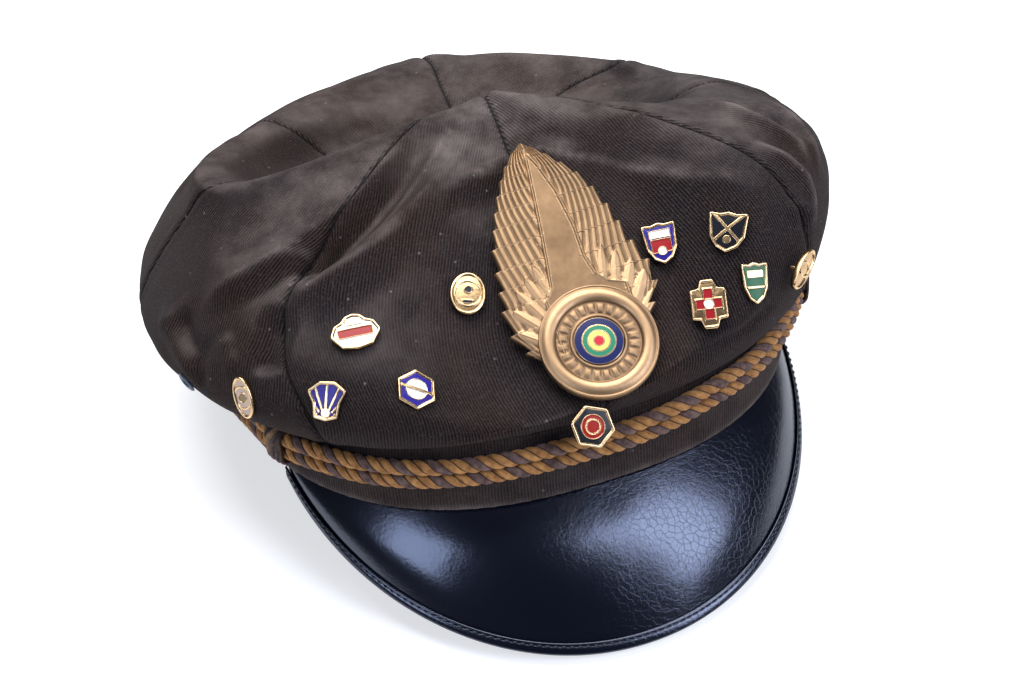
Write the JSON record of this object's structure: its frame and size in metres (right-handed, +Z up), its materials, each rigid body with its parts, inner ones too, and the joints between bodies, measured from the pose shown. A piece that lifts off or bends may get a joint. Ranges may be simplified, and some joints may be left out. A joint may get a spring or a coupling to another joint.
{
  "type": "motorcycle cap",
  "caption": "Soft eight-panel motorcycle cap with a stiff patent visor, doubled gold cord, feathered brass badge and small enamelled pins",
  "frame": {"origin": "centre of the bounding box in X and Y at its lowest point, on the surface that the cap rests on", "axes": "+Z is up, the visor points to -Y and +X is the wearer's left; the cap leans back a little on its visor tip and the back of its band"},
  "size_m": [0.2238, 0.2466, 0.1039],
  "materials": {
    "whipcord": "worn matte ribbed wool whipcord, dark brown-black",
    "patent_leather": "glossy black patent with fine cracks",
    "gold_cord": "twisted gold-brown cord with dark plies",
    "thread": "wound dark red-brown thread",
    "brass": "stamped and lightly polished brass",
    "enamel": "glossy fired enamel in several colours",
    "dark_steel": "dark blued steel"
  },
  "bodies": {
    "root": {"band": "whipcord", "visor": "patent_leather", "visor_binding": "patent_leather", "cord_upper": "gold_cord", "cord_lower": "gold_cord", "keeper_knot_right": "thread", "keeper_knot_left": "thread", "side_button_right": "brass", "side_button_left": "brass", "badge": "brass", "badge_enamel": "enamel", "pin_stepped_red": "brass", "pin_oval_gold": "brass", "pin_fan_blue": "brass", "pin_hexagon_blue": "brass", "pin_oval_pale": "brass", "pin_shield_blue": "brass", "pin_shield_black": "brass", "pin_cross_red": "brass", "pin_shield_green": "brass", "pin_oval_edge": "brass", "pin_hexagon_orange": "brass", "eyelet_right": "dark_steel", "gore_front_to_front_left": "whipcord", "gore_front_left_to_left": "whipcord", "gore_left_to_back_left": "whipcord", "gore_back_left_to_back": "whipcord", "gore_back_to_back_right": "whipcord", "gore_back_right_to_right": "whipcord", "gore_right_to_front_right": "whipcord", "gore_front_right_to_front": "whipcord"}
  },
  "joints": []
}
